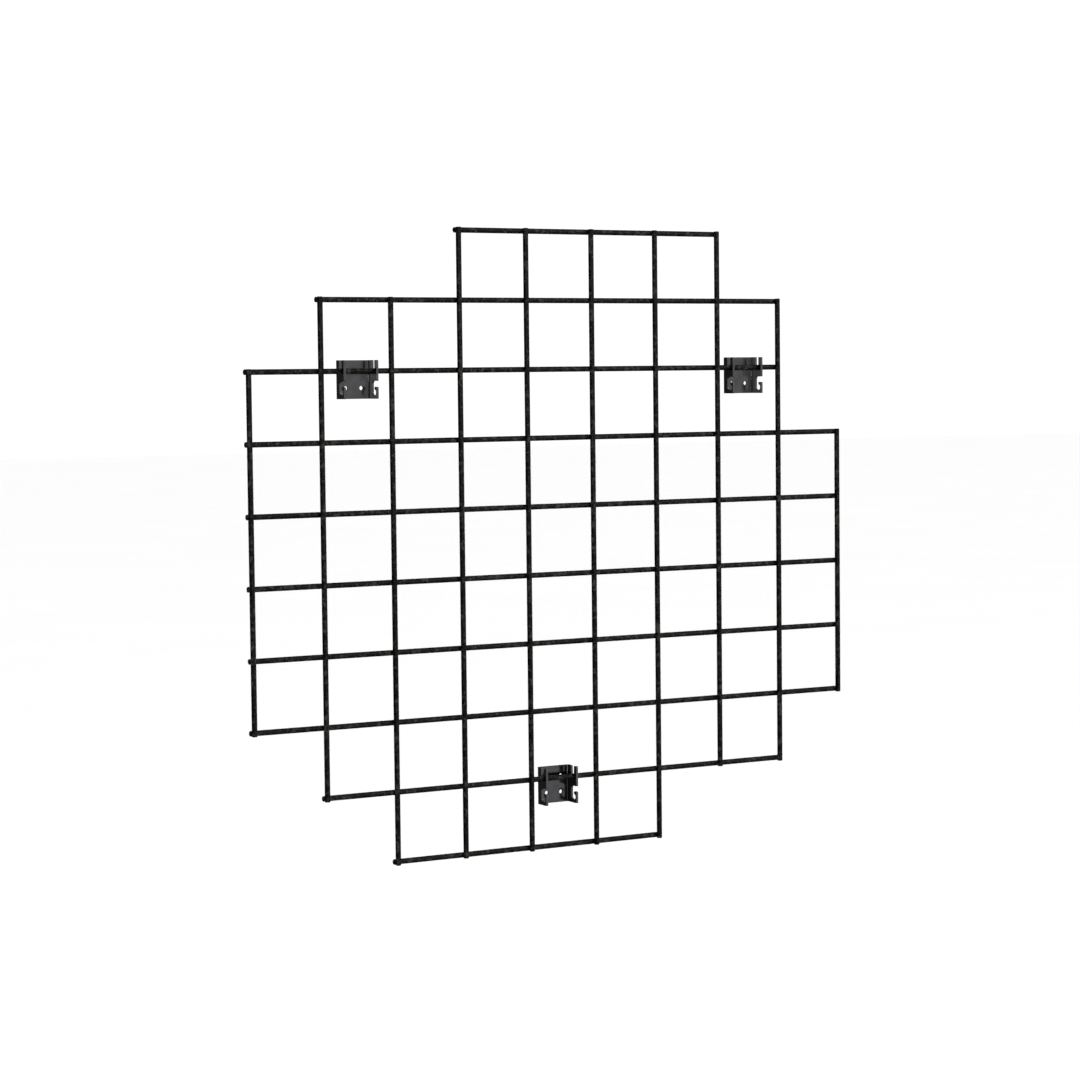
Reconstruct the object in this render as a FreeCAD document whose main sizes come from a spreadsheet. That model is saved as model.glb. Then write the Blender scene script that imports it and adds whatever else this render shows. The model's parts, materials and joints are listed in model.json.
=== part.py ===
"""Wire-grid tool wall: a welded wire panel with a stepped outline, hung on three wall brackets.

Twenty straight round wires are spot-welded where they cross: the horizontal wires lie on the wall
side and the vertical wires on the room side. Three U-shaped sheet-metal brackets are screwed to the
wall. The horizontal wires drop into slots in their side flanges, so the panel lifts off upwards.

Frame, in millimetres: +X to the right seen from the room, +Y into the wall, +Z up. The origin is on
the wall plane, at the centre of the upper left bracket's four screw holes.
"""
import FreeCAD, Part
import os
import Sketcher

OUT = "parts"

# Driving dimensions, in millimetres: (name, value, meaning).
SIZES = (
    ("cell_width", 83.2, "spacing of the upright wires, centre to centre"),
    ("cell_height", 76.2, "spacing of the cross wires, centre to centre"),
    ("wire_diameter", 6.0, "round wire with its coating"),
    ("weld_sink", 0.6, "how far two crossing wires are pressed into each other"),
    ("end_overhang", 0.2, "wire end past the side of the last wire it crosses"),
    ("wire_end_round", 0.8, "rounding of the coated wire ends"),
    ("wall_to_wire", 13.2, "wall plane to the centre of the cross wires"),
    ("bracket_width", 41.0, "outside of one flange to the outside of the other"),
    ("sheet_thickness", 2.4, "bracket sheet"),
    ("bend_radius", 1.0, "inside radius of the bracket's two bends"),
    ("top_above_wire", 11.8, "bracket's top edge above the hung wire's centre"),
    ("hook_post", 5.15, "strip of flange in front of the hanging slot"),
    ("slot_clearance", 0.25, "hanging slot to wire, on each side"),
    ("seat_gap", 0.2, "hanging slot to wire, underneath"),
    ("stay_clearance", 0.1, "stay slot to wire, on each side"),
    ("stay_entry_drop", 13.8, "stay slot's front entry below the hung wire, centre to centre"),
    ("stay_seat_drop", 23.0, "stay slot's seat below the hung wire, centre to centre"),
    ("stay_reach", 3.3, "stay slot's seat in front of its upright passage"),
    ("sole", 3.7, "flange left under the stay slot"),
    ("corner_round", 1.2, "rounding of the flanges' outer corners"),
    ("lip_round", 1.0, "rounding of the slots' lips"),
    ("hole_diameter", 4.6, "screw holes in the back plate"),
    ("hole_spacing", 18.3, "screw holes, centre to centre, across and up"),
    ("upper_left_shift", 4.1, "upper left bracket to the right of its cell's middle"),
    ("upper_right_shift", -1.9, "upper right bracket to the right of its cell's middle"),
    ("lower_shift", -4.1, "lower bracket to the right of its cell's middle"),
    ("overcut", 2.0, "how far a cutting sketch runs past the bracket's edge"),
)

# The panel's outline: for each row of cells from the top, its first and its last upright wire.
PANEL_ROWS = ((4, 8), (2, 9), (1, 9), (1, 10), (1, 10), (1, 10), (1, 10), (2, 9), (3, 7))

# Brackets: (name, upright wire at its cell's left, cross wire that it holds, shift).
BRACKETS = (
    ("upper_left_bracket", 2, 3, "upper_left_shift"),
    ("upper_right_bracket", 8, 3, "upper_right_shift"),
    ("lower_bracket", 5, 9, "lower_shift"),
)
DATUM_COLUMN, DATUM_WIRE, DATUM_SHIFT = BRACKETS[0][1:]

SAME_PLACE = 0.01  # two lengths this close, in millimetres, are one place

doc = FreeCAD.newDocument("wire_grid_tool_wall")


# ---------------------------------------------------------------- sizes and derived expressions
def make_sheet():
    """The spreadsheet that holds every driving dimension under its own alias."""
    sheet = doc.addObject("Spreadsheet::Sheet", "Sizes")
    for row, (name, value, meaning) in enumerate(SIZES, start=1):
        sheet.set(f"A{row}", meaning)
        sheet.set(f"B{row}", str(value))
        sheet.setAlias(f"B{row}", name)
    doc.recompute()
    return sheet


sizes = make_sheet()

WIRE_RADIUS = "(Sizes.wire_diameter / 2)"
WIRE_END = f"({WIRE_RADIUS} + Sizes.end_overhang)"
LAYER_STEP = "(Sizes.wire_diameter - Sizes.weld_sink)"
HANG_RADIUS = f"({WIRE_RADIUS} + Sizes.slot_clearance)"
STAY_RADIUS = f"({WIRE_RADIUS} + Sizes.stay_clearance)"
BRACKET_DEPTH = f"(Sizes.wall_to_wire + {HANG_RADIUS} + Sizes.hook_post)"

# Heights of a bracket's features above the centre of the wire that hangs in it.
HANG_UP = "(Sizes.slot_clearance - Sizes.seat_gap)"
ENTRY_UP = "(-Sizes.stay_entry_drop)"
SEAT_UP = "(-Sizes.stay_seat_drop)"
BOTTOM_UP = f"({SEAT_UP} - {STAY_RADIUS} - Sizes.sole)"
HOLES_UP = f"((Sizes.top_above_wire + {BOTTOM_UP}) / 2)"
SEAT_OUT = "(Sizes.wall_to_wire + Sizes.stay_reach)"


def column_x(column):
    """Expression for the X of an upright wire, or of a cell's middle at a half number."""
    datum_middle = DATUM_COLUMN + 0.5
    return f"({column - datum_middle} * Sizes.cell_width - Sizes.{DATUM_SHIFT})"


def wire_z(number):
    """Expression for the Z of a cross wire's centre, counted from the top."""
    return f"({DATUM_WIRE - number} * Sizes.cell_height - {HOLES_UP})"


# ---------------------------------------------------------------- sketching helpers
def origin_plane(body, role):
    """One of a body's own origin planes: XY_Plane, XZ_Plane or YZ_Plane."""
    return next(f for f in body.Origin.OriginFeatures if f.Role == role)


def new_sketch(body, name, plane):
    """A sketch attached to one of the body's origin planes."""
    sketch = body.newObject("Sketcher::SketchObject", name)
    sketch.AttachmentSupport = [(origin_plane(body, plane), "")]
    sketch.MapMode = "FlatFace"
    return sketch


def drive(sketch, constraint, name, expression):
    """Adds a named constraint to a sketch and binds it to the spreadsheet."""
    index = sketch.addConstraint(constraint)
    sketch.renameConstraint(index, name)
    sketch.setExpression(f"Constraints.{name}", expression)


def add_circle(sketch, across, up, radius):
    """A circle whose centre and radius follow the spreadsheet."""
    any_size = 1.0
    seed = Part.Circle(FreeCAD.Vector(0, 0, 0), FreeCAD.Vector(0, 0, 1), any_size)
    circle = sketch.addGeometry(seed, False)
    label = f"circle_{circle}"
    drive(sketch, Sketcher.Constraint("DistanceX", -1, 1, circle, 3, 0.0), f"{label}_across", across)
    drive(sketch, Sketcher.Constraint("DistanceY", -1, 1, circle, 3, 0.0), f"{label}_up", up)
    drive(sketch, Sketcher.Constraint("Radius", circle, any_size), f"{label}_radius", radius)


def add_polygon(sketch, corners):
    """A closed outline whose corners, as pairs of expressions, follow the spreadsheet."""
    count = len(corners)
    # A loose zigzag to start from: the constraints below move every corner to its place.
    seeds = [FreeCAD.Vector(i, i % 2, 0) for i in range(count)]
    sides = []
    for i in range(count):
        side = Part.LineSegment(seeds[i], seeds[(i + 1) % count])
        sides.append(sketch.addGeometry(side, False))
    for i, side in enumerate(sides):
        sketch.addConstraint(Sketcher.Constraint("Coincident", side, 2, sides[(i + 1) % count], 1))
    for side, (across, up) in zip(sides, corners):
        label = f"corner_{side}"
        drive(sketch, Sketcher.Constraint("DistanceX", -1, 1, side, 1, 1.0), f"{label}_across", across)
        drive(sketch, Sketcher.Constraint("DistanceY", -1, 1, side, 1, 1.0), f"{label}_up", up)


def add_rectangle(sketch, left, right, low, high):
    """A rectangle between four expressions."""
    add_polygon(sketch, ((left, low), (right, low), (right, high), (left, high)))


def pad(body, sketch, length):
    """Pads a sketch by an expression."""
    feature = body.newObject("PartDesign::Pad", f"{sketch.Name}_pad")
    feature.Profile = sketch
    feature.setExpression("Length", length)
    body.Tip = feature
    sketch.Visibility = False


def pocket_across(body, sketch):
    """Cuts a sketch through the whole body, both ways from its plane."""
    doc.recompute()
    before = body.Shape.Volume
    feature = body.newObject("PartDesign::Pocket", f"{sketch.Name}_pocket")
    feature.Profile = sketch
    feature.Type = "ThroughAll"
    feature.SideType = "Symmetric"
    body.Tip = feature
    sketch.Visibility = False
    doc.recompute()
    assert feature.Shape.Volume < before, f"{feature.Label} cuts nothing"


def fillet(body, name, edges, radius):
    """Rounds the named edges of the body's tip by an expression."""
    base = body.Tip
    feature = body.newObject("PartDesign::Fillet", name)
    feature.Base = (base, edges)
    feature.setExpression("Radius", radius)
    body.Tip = feature
    doc.recompute()


def size(name):
    """The present value of a driving dimension."""
    return float(sizes.get(name))


def near(a, b):
    """Whether two lengths are the same place."""
    return abs(a - b) < SAME_PLACE


def edges_where(shape, wanted):
    """Names of the straight edges whose middle passes the test wanted(middle)."""
    names = []
    for number, edge in enumerate(shape.Edges, start=1):
        if edge.Curve.TypeId == "Part::GeomLine" and wanted(edge.CenterOfMass):
            names.append(f"Edge{number}")
    return names


def edges_at(shape, spots):
    """Names of the edges through the sheet that stand at one of the (y, z) spots."""
    return edges_where(shape, lambda c: any(near(c.y, y) and near(c.z, z) for y, z in spots))


# ---------------------------------------------------------------- wires
def make_wire(name, plane, cells, pitch, place):
    """A straight wire across a number of cells, with rounded ends, placed by three expressions."""
    body = doc.addObject("PartDesign::Body", name)
    body.Label = name
    sketch = new_sketch(body, f"{name}_section", plane)
    add_circle(sketch, "0", "0", WIRE_RADIUS)
    pad(body, sketch, f"{cells} * Sizes.{pitch} + 2 * {WIRE_END}")
    doc.recompute()
    rims = [f"Edge{n}" for n, e in enumerate(body.Shape.Edges, start=1)
            if e.Curve.TypeId == "Part::GeomCircle"]
    fillet(body, f"{name}_ends", rims, "Sizes.wire_end_round")
    for axis, expression in zip("xyz", place):
        body.setExpression(f"Placement.Base.{axis}", expression)
    return body


def cross_wire_span(number):
    """First and last upright wire that a cross wire reaches, from the rows of cells beside it."""
    beside = PANEL_ROWS[max(number - 2, 0):number]
    return min(first for first, last in beside), max(last for first, last in beside)


def upright_wire_span(column):
    """First and last cross wire that an upright wire reaches."""
    rows = [r for r, (first, last) in enumerate(PANEL_ROWS, start=1) if first <= column <= last]
    return rows[0], rows[-1] + 1


def make_cross_wire(number):
    """A horizontal wire, on the wall side of the panel."""
    first, last = cross_wire_span(number)
    place = (f"{column_x(first)} - {WIRE_END}", "-Sizes.wall_to_wire", wire_z(number))
    return make_wire(f"cross_wire_{number:02d}", "YZ_Plane", last - first, "cell_width", place)


def make_upright_wire(column):
    """A vertical wire, on the room side of the panel."""
    first, last = upright_wire_span(column)
    depth = f"-(Sizes.wall_to_wire + {LAYER_STEP})"
    place = (column_x(column), depth, f"{wire_z(last)} - {WIRE_END}")
    return make_wire(f"upright_wire_{column:02d}", "XY_Plane", last - first, "cell_height", place)


def make_panel():
    """The welded panel's wires: cross wires from the top, upright wires from the left."""
    cross_count = len(PANEL_ROWS) + 1
    upright_count = max(last for first, last in PANEL_ROWS)
    cross = [make_cross_wire(number) for number in range(1, cross_count + 1)]
    upright = [make_upright_wire(column) for column in range(1, upright_count + 1)]
    return cross + upright


# ---------------------------------------------------------------- brackets
def channel_section(body, name):
    """The U of the bracket seen from above: back plate on the wall, flanges towards the room."""
    sketch = new_sketch(body, f"{name}_channel", "XY_Plane")
    sketch.setExpression("AttachmentOffset.Base.z", BOTTOM_UP)
    outer = "Sizes.bracket_width / 2"
    inner = f"({outer} - Sizes.sheet_thickness)"
    front = f"-{BRACKET_DEPTH}"
    floor = "-Sizes.sheet_thickness"
    add_polygon(sketch, (
        (f"-{outer}", "0"), (outer, "0"), (outer, front), (inner, front),
        (inner, floor), (f"-{inner}", floor), (f"-{inner}", front), (f"-{outer}", front),
    ))
    pad(body, sketch, f"Sizes.top_above_wire - {BOTTOM_UP}")


def round_bends(body, name):
    """The two bends: a small radius inside, and that radius plus the sheet outside."""
    half = size("bracket_width") / 2
    sheet = size("sheet_thickness")
    inside = edges_where(body.Shape, lambda c: near(abs(c.x), half - sheet) and near(c.y, -sheet))
    fillet(body, f"{name}_inside_bends", inside, "Sizes.bend_radius")
    outside = edges_where(body.Shape, lambda c: near(abs(c.x), half) and near(c.y, 0))
    fillet(body, f"{name}_outside_bends", outside, "Sizes.bend_radius + Sizes.sheet_thickness")


def cut_hanging_slot(body, name):
    """The slot in both flanges that the wire drops into: open at the top, with a round bottom."""
    rear = f"-(Sizes.wall_to_wire - {HANG_RADIUS})"
    front = f"-(Sizes.wall_to_wire + {HANG_RADIUS})"
    past_top = "Sizes.top_above_wire + Sizes.overcut"
    seat = new_sketch(body, f"{name}_hanging_seat", "YZ_Plane")
    add_circle(seat, "-Sizes.wall_to_wire", HANG_UP, HANG_RADIUS)
    pocket_across(body, seat)
    mouth = new_sketch(body, f"{name}_hanging_mouth", "YZ_Plane")
    add_rectangle(mouth, front, rear, HANG_UP, past_top)
    pocket_across(body, mouth)


def cut_stay_slot(body, name):
    """The hooked slot below it: in from the front, down behind a tongue, and forward to a seat."""
    rear = f"-(Sizes.wall_to_wire - {STAY_RADIUS})"
    front = f"-(Sizes.wall_to_wire + {STAY_RADIUS})"
    middle = "-Sizes.wall_to_wire"
    seat = f"-{SEAT_OUT}"
    past_front = f"-({BRACKET_DEPTH} + Sizes.overcut)"
    rounds = (
        ("back_round", middle, ENTRY_UP),
        ("low_round", middle, SEAT_UP),
        ("seat_round", seat, SEAT_UP),
    )
    for label, across, up in rounds:
        sketch = new_sketch(body, f"{name}_stay_{label}", "YZ_Plane")
        add_circle(sketch, across, up, STAY_RADIUS)
        pocket_across(body, sketch)
    straights = (
        ("entry", past_front, middle, f"{ENTRY_UP} - {STAY_RADIUS}", f"{ENTRY_UP} + {STAY_RADIUS}"),
        ("passage", front, rear, SEAT_UP, ENTRY_UP),
        ("pocket", seat, middle, f"{SEAT_UP} - {STAY_RADIUS}", f"{SEAT_UP} + {STAY_RADIUS}"),
    )
    for label, low_y, high_y, low_z, high_z in straights:
        sketch = new_sketch(body, f"{name}_stay_{label}", "YZ_Plane")
        add_rectangle(sketch, low_y, high_y, low_z, high_z)
        pocket_across(body, sketch)


def drill_holes(body, name):
    """Four screw holes through the back plate, in a square about its middle."""
    sketch = new_sketch(body, f"{name}_holes", "XZ_Plane")
    for side in ("-", ""):
        for rise in ("-", ""):
            across = f"{side}Sizes.hole_spacing / 2"
            up = f"{HOLES_UP} + ({rise}Sizes.hole_spacing / 2)"
            add_circle(sketch, across, up, "Sizes.hole_diameter / 2")
    pocket_across(body, sketch)


def round_flanges(body, name):
    """Rounds the flanges' outer corners and the lips of their slots."""
    wire_radius = size("wire_diameter") / 2
    hang = wire_radius + size("slot_clearance")
    stay = wire_radius + size("stay_clearance")
    line = -size("wall_to_wire")
    front = line - hang - size("hook_post")
    top = size("top_above_wire")
    entry = -size("stay_entry_drop")
    bottom = -size("stay_seat_drop") - stay - size("sole")
    corners = edges_at(body.Shape, ((front, top), (front, bottom)))
    fillet(body, f"{name}_corners", corners, "Sizes.corner_round")
    lips = edges_at(body.Shape, (
        (line - hang, top), (line + hang, top),
        (front, entry + stay), (front, entry - stay), (line - stay, entry - stay),
    ))
    fillet(body, f"{name}_lips", lips, "Sizes.lip_round")


def make_bracket(name, column, wire, shift):
    """One wall bracket, bent from sheet, on the horizontal wire that it holds."""
    body = doc.addObject("PartDesign::Body", name)
    body.Label = name
    channel_section(body, name)
    doc.recompute()
    round_bends(body, name)
    cut_hanging_slot(body, name)
    cut_stay_slot(body, name)
    drill_holes(body, name)
    round_flanges(body, name)
    body.setExpression("Placement.Base.x", f"{column_x(column + 0.5)} + Sizes.{shift}")
    body.setExpression("Placement.Base.z", wire_z(wire))
    return body


# ---------------------------------------------------------------- build, check and write
def check(pieces):
    """Stops if an object failed or a piece is empty or invalid."""
    for item in doc.Objects:
        assert "Invalid" not in item.State and "Error" not in item.State, f"{item.Label} failed"
    for piece in pieces:
        assert not piece.Shape.isNull() and piece.Shape.isValid(), f"{piece.Label} has no valid shape"
        assert len(piece.Shape.Solids) == 1, f"{piece.Label} isn't one solid"


def main():
    pieces = make_panel() + [make_bracket(*bracket) for bracket in BRACKETS]
    doc.recompute()
    check(pieces)
    os.makedirs(OUT, exist_ok=True)
    for piece in pieces:
        piece.Shape.exportStep(os.path.join(OUT, piece.Label + ".step"))
        box = piece.Shape.BoundBox
        print(f"{piece.Label}: {box.XLength:.2f} x {box.YLength:.2f} x {box.ZLength:.2f} mm")


main()
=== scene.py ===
"""Looks for the wire-grid tool wall: a welded, textured black panel hung on three plated wall brackets.

The CAD wires keep their shape and get a textured powder coat, and each crossing gets the squeezed-out
bead of its spot weld. The CAD brackets keep their shape too, with their punched edges broken, and get
a dark, mirror-like plating. The frame is in metres: +X right, +Y into the wall, +Z up.

Colours are linear red, green and blue. A scale is in waves or cells per metre.
"""
import json
import math
import random

import bmesh
import bpy
from mathutils import Euler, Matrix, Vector


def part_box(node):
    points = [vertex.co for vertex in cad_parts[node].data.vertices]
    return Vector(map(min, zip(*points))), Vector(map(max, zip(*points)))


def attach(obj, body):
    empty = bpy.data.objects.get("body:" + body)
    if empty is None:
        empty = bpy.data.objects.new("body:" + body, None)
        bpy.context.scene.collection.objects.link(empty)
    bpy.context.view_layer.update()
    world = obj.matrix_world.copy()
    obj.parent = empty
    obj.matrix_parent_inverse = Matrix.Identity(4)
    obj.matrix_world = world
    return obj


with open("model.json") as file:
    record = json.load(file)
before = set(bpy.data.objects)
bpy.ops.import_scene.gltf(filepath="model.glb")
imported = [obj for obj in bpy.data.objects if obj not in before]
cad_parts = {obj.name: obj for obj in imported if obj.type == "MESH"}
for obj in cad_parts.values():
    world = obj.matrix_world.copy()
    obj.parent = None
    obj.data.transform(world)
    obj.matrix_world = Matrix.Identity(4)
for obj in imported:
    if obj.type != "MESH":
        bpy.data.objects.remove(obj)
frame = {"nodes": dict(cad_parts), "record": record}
bpy.context.view_layer.update()
NODES = frame["nodes"]
RECORD = frame["record"]

MM = 0.001
PANEL = "grid_panel"

WIRE_RADIUS = (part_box("cross_wire_05")[1].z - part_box("cross_wire_05")[0].z) / 2
PANEL_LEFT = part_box("upright_wire_01")[0].x
PANEL_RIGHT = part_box("upright_wire_10")[1].x
PANEL_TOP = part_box("cross_wire_01")[1].z
PANEL_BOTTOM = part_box("cross_wire_10")[0].z
PANEL_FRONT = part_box("upright_wire_05")[0].y
PANEL_CENTRE = Vector((
    (PANEL_LEFT + PANEL_RIGHT) / 2,
    PANEL_FRONT + WIRE_RADIUS,
    (PANEL_TOP + PANEL_BOTTOM) / 2,
))


# ---------------------------------------------------------------- node helpers
class Nodes:
    """A short way to add and link the nodes of one tree."""

    def __init__(self, tree):
        self.tree = tree
        self.tree.nodes.clear()

    def add(self, kind, **settings):
        """Adds a node and sets its properties."""
        node = self.tree.nodes.new(kind)
        for name, value in settings.items():
            setattr(node, name, value)
        return node

    def link(self, source, target):
        """Links two sockets."""
        self.tree.links.new(source, target)

    def noise(self, where, scale, detail=3.0, roughness=0.5, distortion=0.0):
        """Noise of so many waves per metre, as a value from 0 to 1."""
        node = self.add("ShaderNodeTexNoise")
        node.inputs["Scale"].default_value = scale
        node.inputs["Detail"].default_value = detail
        node.inputs["Roughness"].default_value = roughness
        node.inputs["Distortion"].default_value = distortion
        self.link(where, node.inputs["Vector"])
        return node.outputs["Fac"]

    def cells(self, where, scale, feature="F1"):
        """Distance to the nearest of so many cells per metre."""
        node = self.add("ShaderNodeTexVoronoi", feature=feature)
        node.inputs["Scale"].default_value = scale
        self.link(where, node.inputs["Vector"])
        return node.outputs["Distance"]

    def span(self, value, low, high, to_low=0.0, to_high=1.0):
        """Maps a value from one range to another, smoothly and clamped."""
        node = self.add("ShaderNodeMapRange", interpolation_type="SMOOTHSTEP")
        for name, number in zip(("From Min", "From Max", "To Min", "To Max"), (low, high, to_low, to_high)):
            node.inputs[name].default_value = number
        self.link(value, node.inputs["Value"])
        return node.outputs["Result"]

    def maths(self, operation, a, b):
        """A sum, product or other operation on two values."""
        node = self.add("ShaderNodeMath", operation=operation)
        self.link(a, node.inputs[0])
        self.link(b, node.inputs[1])
        return node.outputs["Value"]

    def mix(self, factor, a, b):
        """A colour between two, of which each is a socket or red, green and blue."""
        node = self.add("ShaderNodeMix", data_type="RGBA")
        self.link(factor, node.inputs["Factor"])
        for name, colour in (("A", a), ("B", b)):
            socket = next(s for s in node.inputs if s.name == name and s.type == "RGBA")
            if isinstance(colour, tuple):
                socket.default_value = (*colour, 1.0)
            else:
                self.link(colour, socket)
        return next(s for s in node.outputs if s.type == "RGBA")

    def bump(self, height, distance, strength=1.0, normal=None):
        """A bump of so many metres, on top of another bump if there is one."""
        node = self.add("ShaderNodeBump")
        node.inputs["Distance"].default_value = distance
        node.inputs["Strength"].default_value = strength
        self.link(height, node.inputs["Height"])
        if normal is not None:
            self.link(normal, node.inputs["Normal"])
        return node.outputs["Normal"]


def new_material(name, **constants):
    """A material with a principled shader whose sockets have these constant values."""
    material = bpy.data.materials.new(name)
    material.use_nodes = True
    nodes = Nodes(material.node_tree)
    shader = nodes.add("ShaderNodeBsdfPrincipled")
    for socket, value in constants.items():
        shader.inputs[socket.replace("_", " ")].default_value = value
    output = nodes.add("ShaderNodeOutputMaterial")
    nodes.link(shader.outputs["BSDF"], output.inputs["Surface"])
    where = nodes.add("ShaderNodeTexCoord").outputs["Object"]
    return material, nodes, shader, where


# ---------------------------------------------------------------- materials
COAT_BLACK = (0.0012, 0.0012, 0.0011)
COAT_THIN = (0.0036, 0.0037, 0.0032)
COAT_SPECKLE = (0.028, 0.0285, 0.025)
COAT_SPECULAR = 0.11
COAT_GLOSSY = 0.24
COAT_DULL = 0.52
DRIFT_SCALE = 70.0
MOTTLE_SCALE = 215.0
PIT_SCALE = 420.0
PIT_DEPTH = 0.22 * MM
COAT_GRAIN_SCALE = 1900.0
COAT_GRAIN_DEPTH = 0.03 * MM


def wire_coat():
    """Black powder coat with a fine hammered texture: glossy dark patches and duller grey speckles."""
    material, nodes, shader, where = new_material("wire_coat", Specular_IOR_Level=COAT_SPECULAR)
    drift = nodes.noise(where, DRIFT_SCALE, detail=3.0)
    mottle = nodes.noise(where, MOTTLE_SCALE, detail=3.0, roughness=0.6, distortion=0.5)
    dark = nodes.mix(nodes.span(drift, 0.3, 0.7), COAT_BLACK, COAT_THIN)
    speckled = nodes.mix(nodes.span(mottle, 0.50, 0.66), dark, COAT_SPECKLE)
    nodes.link(speckled, shader.inputs["Base Color"])
    nodes.link(nodes.span(mottle, 0.35, 0.70, COAT_GLOSSY, COAT_DULL), shader.inputs["Roughness"])
    hammer = nodes.cells(where, PIT_SCALE, "SMOOTH_F1")
    grain = nodes.noise(where, COAT_GRAIN_SCALE, detail=2.0)
    pits = nodes.bump(hammer, PIT_DEPTH, 0.9)
    nodes.link(nodes.bump(grain, COAT_GRAIN_DEPTH, 0.7, pits), shader.inputs["Normal"])
    return material


PLATING_DARK = (0.088, 0.088, 0.091)
PLATING_LIGHT = (0.108, 0.108, 0.113)
# Colour along the edges: partly rubbed plating, partly a painted edge highlight.
PLATING_RUBBED_AND_HIGHLIT = (0.20, 0.20, 0.205)
PLATING_CLEAN = 0.13
PLATING_SMUDGED = 0.20
RUBBED_ROUGHER = 0.14
RUBBED_AND_HIGHLIT_WIDTH = 0.45 * MM
RUBBED_AND_HIGHLIT_SCALE = 900.0
CLOUD_SCALE = 110.0
PEEL_SCALE = 420.0
PEEL_DEPTH = 0.008 * MM
PLATING_GRAIN_SCALE = 3200.0
PLATING_GRAIN_DEPTH = 0.002 * MM


def edge_wear_and_highlight(nodes, where):
    """How rubbed and painted-highlit the surface is: 1 in patches along the edges, 0 away from them."""
    rounded = nodes.add("ShaderNodeBevel", samples=6)
    rounded.inputs["Radius"].default_value = RUBBED_AND_HIGHLIT_WIDTH
    flat = nodes.add("ShaderNodeNewGeometry").outputs["Normal"]
    turned = nodes.add("ShaderNodeVectorMath", operation="DOT_PRODUCT")
    nodes.link(rounded.outputs["Normal"], turned.inputs[0])
    nodes.link(flat, turned.inputs[1])
    # Finds the edges that get the brighter colour, which is partly rubbed wear and partly a painted edge
    # highlight.
    edge = nodes.span(turned.outputs["Value"], 0.98, 0.80)
    patches = nodes.span(nodes.noise(where, RUBBED_AND_HIGHLIT_SCALE, detail=4.0), 0.35, 0.6)
    return nodes.maths("MULTIPLY", edge, patches)


def bracket_coat():
    """Dark, glossy plated sheet that mirrors what is near it, brighter along its edges from rubbed wear and
    a painted edge highlight.
    """
    material, nodes, shader, where = new_material("bracket_coat", Metallic=1.0)
    cloud = nodes.noise(where, CLOUD_SCALE, detail=4.0)
    base = nodes.mix(nodes.span(cloud, 0.3, 0.7), PLATING_DARK, PLATING_LIGHT)
    worn_and_highlit = edge_wear_and_highlight(nodes, where)
    # Brightens the edges: partly rubbed wear, partly a painted edge highlight.
    nodes.link(nodes.mix(worn_and_highlit, base, PLATING_RUBBED_AND_HIGHLIT), shader.inputs["Base Color"])
    smudged = nodes.span(cloud, 0.30, 0.72, PLATING_CLEAN, PLATING_SMUDGED)
    scuffed = nodes.add("ShaderNodeMath", operation="MULTIPLY_ADD")
    nodes.link(worn_and_highlit, scuffed.inputs[0])
    scuffed.inputs[1].default_value = RUBBED_ROUGHER
    nodes.link(smudged, scuffed.inputs[2])
    nodes.link(scuffed.outputs["Value"], shader.inputs["Roughness"])
    peel = nodes.noise(where, PEEL_SCALE, detail=2.0)
    grain = nodes.noise(where, PLATING_GRAIN_SCALE, detail=2.0)
    skin = nodes.bump(peel, PEEL_DEPTH, 0.5)
    nodes.link(nodes.bump(grain, PLATING_GRAIN_DEPTH, 0.5, skin), shader.inputs["Normal"])
    return material


FLOOR_DARKER = (0.90, 0.90, 0.90)
FLOOR_LIGHTER = (0.93, 0.93, 0.93)
FLOOR_SCALE = 1.5


def floor_paint():
    """Pale, matt studio floor with a faint unevenness."""
    material, nodes, shader, where = new_material("floor_paint", Roughness=0.9)
    tone = nodes.mix(nodes.noise(where, FLOOR_SCALE, detail=4.0), FLOOR_DARKER, FLOOR_LIGHTER)
    nodes.link(tone, shader.inputs["Base Color"])
    return material


# ---------------------------------------------------------------- spot welds
WELD_REACH = 2.55 * MM
WELD_WAIST = 2.30 * MM
WELD_BURIED = 0.25 * MM
WELD_STEPS = 40
WELD_RINGS = 6
WELD_WAVES = (2, 3, 5, 7)
WELD_UNEVENNESS = 0.02
WELD_SEED = 7


def weld_outline(rng):
    """A function from an angle to a bead's unevenness there: a share of its reach."""
    waves = [(n, rng.uniform(0.0, WELD_UNEVENNESS), rng.uniform(0.0, math.tau)) for n in WELD_WAVES]
    return lambda angle: 1.0 + sum(size * math.sin(n * angle + turn) for n, size, turn in waves)


def add_weld(mesh, crossing, uneven):
    """The bead squeezed out between a cross wire and an upright wire: a closed plug with a waist."""
    centre, cross_y, upright_y = crossing
    rings = []
    for step in range(WELD_RINGS + 1):
        share = step / WELD_RINGS
        waist = math.sin(math.pi * share)
        ring = []
        for k in range(WELD_STEPS):
            angle = math.tau * k / WELD_STEPS
            reach = (WELD_REACH + (WELD_WAIST - WELD_REACH) * waist) * uneven(angle)
            x = reach * math.cos(angle)
            z = reach * math.sin(angle)
            on_cross = cross_y - math.sqrt(WIRE_RADIUS**2 - z**2) + WELD_BURIED
            on_upright = upright_y + math.sqrt(WIRE_RADIUS**2 - x**2) - WELD_BURIED
            y = on_cross + (on_upright - on_cross) * share
            ring.append(mesh.verts.new((centre.x + x, y, centre.z + z)))
        rings.append(ring)
    for low, high in zip(rings, rings[1:]):
        for k in range(WELD_STEPS):
            after = (k + 1) % WELD_STEPS
            face = mesh.faces.new((low[k], low[after], high[after], high[k]))
            face.smooth = True
    mesh.faces.new(rings[0][::-1])
    mesh.faces.new(rings[-1])


def crossings_of(cross):
    """For each upright wire welded to a cross wire: the crossing, and both wires' centres in Y."""
    low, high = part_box(cross)
    cross_centre = (low + high) / 2
    for a, b in RECORD["behaviour"]["press_fits"]:
        if cross in (a, b):
            upright = b if a == cross else a
            low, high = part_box(upright)
            upright_centre = (low + high) / 2
            yield Vector((upright_centre.x, 0.0, cross_centre.z)), cross_centre.y, upright_centre.y


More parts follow.
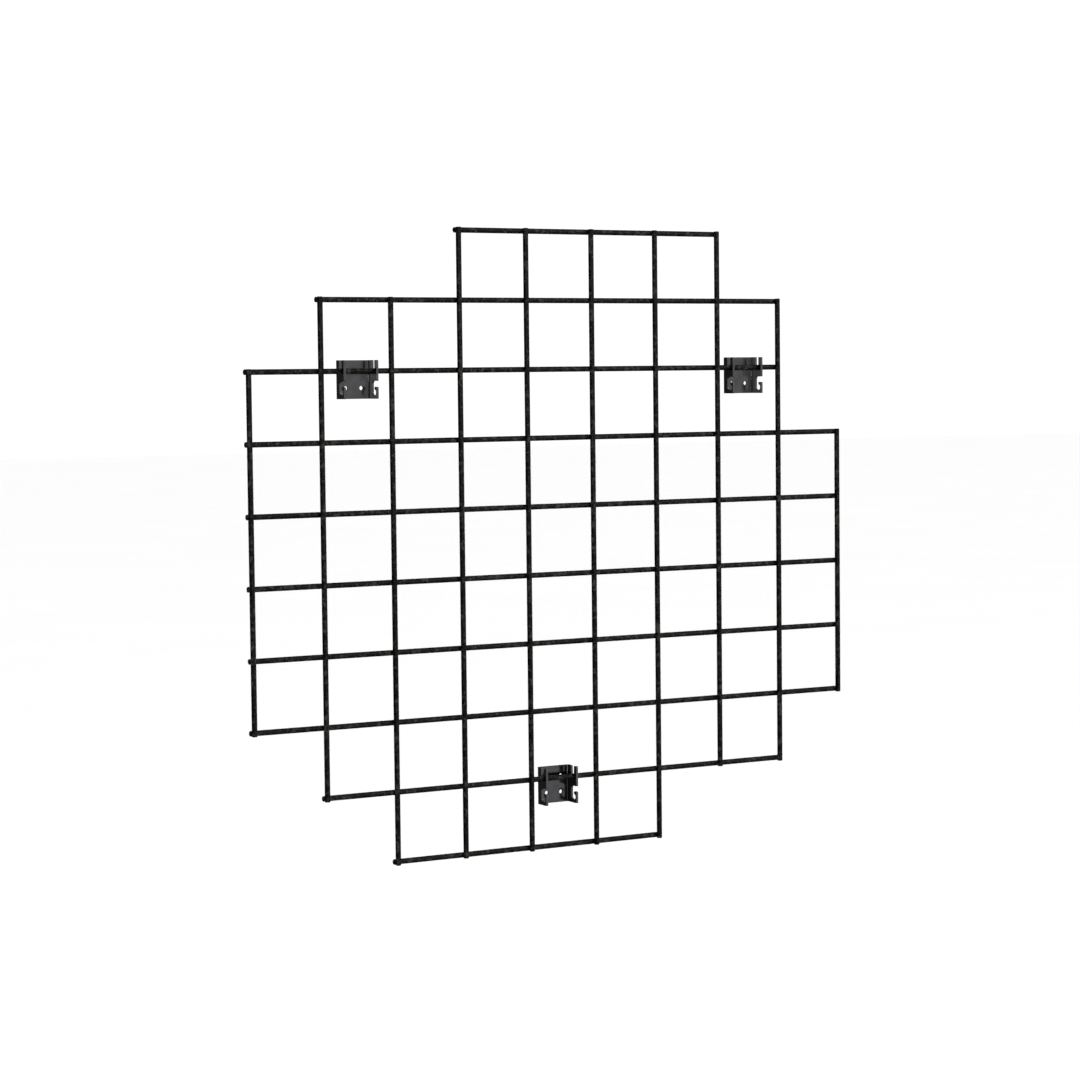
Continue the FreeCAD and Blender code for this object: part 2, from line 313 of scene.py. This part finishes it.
def make_welds(material):
    """One piece of weld beads for each cross wire."""
    rng = random.Random(WELD_SEED)
    for cross in sorted(name for name in NODES if name.startswith("cross_wire")):
        mesh = bmesh.new()
        for crossing in crossings_of(cross):
            add_weld(mesh, crossing, weld_outline(rng))
        bmesh.ops.recalc_face_normals(mesh, faces=mesh.faces)
        data = bpy.data.meshes.new("welds_" + cross)
        mesh.to_mesh(data)
        mesh.free()
        data.materials.append(material)
        piece = bpy.data.objects.new("welds_" + cross, data)
        bpy.context.scene.collection.objects.link(piece)
        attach(piece, PANEL)


# ---------------------------------------------------------------- carried-over CAD pieces
EDGE_BREAK = 0.12 * MM
EDGE_SEGMENTS = 2
SHARPEST_KEPT = math.radians(40)
JOIN_WITHIN = 0.001 * MM


def dress(node, material):
    """Gives a CAD node its material."""
    node.data.materials.clear()
    node.data.materials.append(material)


def break_edges(node):
    """Breaks a CAD node's sharp edges by a small round."""
    weld = node.modifiers.new("joined", "WELD")
    weld.merge_threshold = JOIN_WITHIN
    bevel = node.modifiers.new("edges", "BEVEL")
    bevel.width = EDGE_BREAK
    bevel.segments = EDGE_SEGMENTS
    bevel.limit_method = "ANGLE"
    bevel.angle_limit = SHARPEST_KEPT
    bevel.use_clamp_overlap = True
    bevel.harden_normals = False


# ---------------------------------------------------------------- stage
FLOOR_DROP = 0.42
FLOOR_SIZE = 60.0
VIEW_AZIMUTH = -29.12
VIEW_ELEVATION = 3.384
VIEW_ROLL = -0.63
VIEW_ANGLE = 22.0
VIEW_DISTANCE = 3.086
AIM_LEFT = 27.5 * MM
AIM_UP = 1.3 * MM
BRIGHT_SIDE = (0.60, -0.72, 0.35)
DIM_BELOW = -0.2
BRIGHT_ABOVE = 0.9
DIM_STRENGTH = 0.07
BRIGHT_STRENGTH = 0.75
SEEN_STRENGTH = 1.05
SUN_STRENGTH = 2.6
SUN_TOWARDS = (0.15, 0.35, -1.0)
SUN_SPREAD = math.radians(60)
SIDE_POWER = 12.0
SIDE_PLACE = Vector((1.5, -2.0, 1.0))
SIDE_TOWARDS = (-0.55, 0.75, -0.35)
SIDE_WIDTH = 1.4
SIDE_HEIGHT = 1.0
FILL_POWER = 14.0
FILL_WIDTH = 1.3
FILL_HEIGHT = 0.8
FILL_BEHIND_CAMERA = 0.2
FILL_RISE = Vector((0.0, 0.0, 0.25))


def away_from_view():
    """The direction from the panel to the camera."""
    azimuth = math.radians(VIEW_AZIMUTH)
    elevation = math.radians(VIEW_ELEVATION)
    return Vector((
        math.sin(azimuth) * math.cos(elevation),
        -math.cos(azimuth) * math.cos(elevation),
        math.sin(elevation),
    ))


def make_floor():
    """The pale floor, well below the panel and left out of reflections."""
    mesh = bmesh.new()
    bmesh.ops.create_grid(mesh, x_segments=2, y_segments=2, size=FLOOR_SIZE / 2)
    data = bpy.data.meshes.new("floor")
    mesh.to_mesh(data)
    mesh.free()
    data.materials.append(floor_paint())
    floor = bpy.data.objects.new("floor", data)
    floor.location = (PANEL_CENTRE.x, PANEL_CENTRE.y, PANEL_BOTTOM - FLOOR_DROP)
    floor.visible_glossy = False
    bpy.context.scene.collection.objects.link(floor)


def make_world():
    """White studio surroundings to the eye. As a light they are brighter at the right and in front."""
    world = bpy.data.worlds.new("studio")
    bpy.context.scene.world = world
    world.use_nodes = True
    nodes = Nodes(world.node_tree)
    towards = nodes.add("ShaderNodeTexCoord").outputs["Generated"]
    lit = nodes.add("ShaderNodeVectorMath", operation="DOT_PRODUCT")
    nodes.link(towards, lit.inputs[0])
    lit.inputs[1].default_value = BRIGHT_SIDE
    glow = nodes.span(lit.outputs["Value"], DIM_BELOW, BRIGHT_ABOVE, DIM_STRENGTH, BRIGHT_STRENGTH)
    seen = nodes.add("ShaderNodeLightPath").outputs["Is Camera Ray"]
    strength = nodes.add("ShaderNodeMix", data_type="FLOAT")
    nodes.link(seen, strength.inputs["Factor"])
    nodes.link(glow, strength.inputs["A"])
    strength.inputs["B"].default_value = SEEN_STRENGTH
    background = nodes.add("ShaderNodeBackground")
    background.inputs["Color"].default_value = (1.0, 1.0, 1.0, 1.0)
    nodes.link(strength.outputs["Result"], background.inputs["Strength"])
    output = nodes.add("ShaderNodeOutputWorld")
    nodes.link(background.outputs["Background"], output.inputs["Surface"])


def add_light(name, kind, energy, towards, **settings):
    """A light that shines along a direction."""
    data = bpy.data.lights.new(name, kind)
    data.energy = energy
    for key, value in settings.items():
        setattr(data, key, value)
    light = bpy.data.objects.new(name, data)
    light.rotation_mode = "QUATERNION"
    light.rotation_quaternion = Vector(towards).to_track_quat("-Z", "Y")
    bpy.context.scene.collection.objects.link(light)
    return light


def make_lights():
    """A wide overhead light that leaves no highlights, and soft boxes at the right and behind the camera."""
    sun = add_light("overhead", "SUN", SUN_STRENGTH, SUN_TOWARDS, angle=SUN_SPREAD)
    sun.visible_glossy = False
    side = add_light(
        "soft_box", "AREA", SIDE_POWER, SIDE_TOWARDS,
        shape="RECTANGLE", size=SIDE_WIDTH, size_y=SIDE_HEIGHT,
    )
    side.location = PANEL_CENTRE + SIDE_PLACE
    side.visible_camera = False
    back = away_from_view()
    fill = add_light(
        "fill_box", "AREA", FILL_POWER, -back,
        shape="RECTANGLE", size=FILL_WIDTH, size_y=FILL_HEIGHT,
    )
    fill.location = PANEL_CENTRE + back * (VIEW_DISTANCE + FILL_BEHIND_CAMERA) + FILL_RISE
    fill.visible_camera = False


def make_camera():
    """The camera, a little left of the panel and level with its middle."""
    back = away_from_view()
    aim = PANEL_CENTRE + Vector((-AIM_LEFT, 0.0, AIM_UP))
    data = bpy.data.cameras.new("camera")
    data.angle = math.radians(VIEW_ANGLE)
    data.clip_start = 0.05
    data.clip_end = 200.0
    camera = bpy.data.objects.new("camera", data)
    camera.location = aim + back * VIEW_DISTANCE
    camera.rotation_mode = "QUATERNION"
    roll = Euler((0.0, 0.0, math.radians(VIEW_ROLL))).to_quaternion()
    camera.rotation_quaternion = (-back).to_track_quat("-Z", "Y") @ roll
    bpy.context.scene.collection.objects.link(camera)
    bpy.context.scene.camera = camera


def main():
    """Dresses the CAD pieces, adds the weld beads and sets the stage."""
    coat = wire_coat()
    plating = bracket_coat()
    for name, node in NODES.items():
        if name.endswith("bracket"):
            dress(node, plating)
            break_edges(node)
        else:
            dress(node, coat)
    make_welds(coat)
    make_floor()
    make_world()
    make_lights()
    make_camera()
    bpy.context.scene.view_settings.view_transform = "Standard"


main()
bpy.context.view_layer.update()
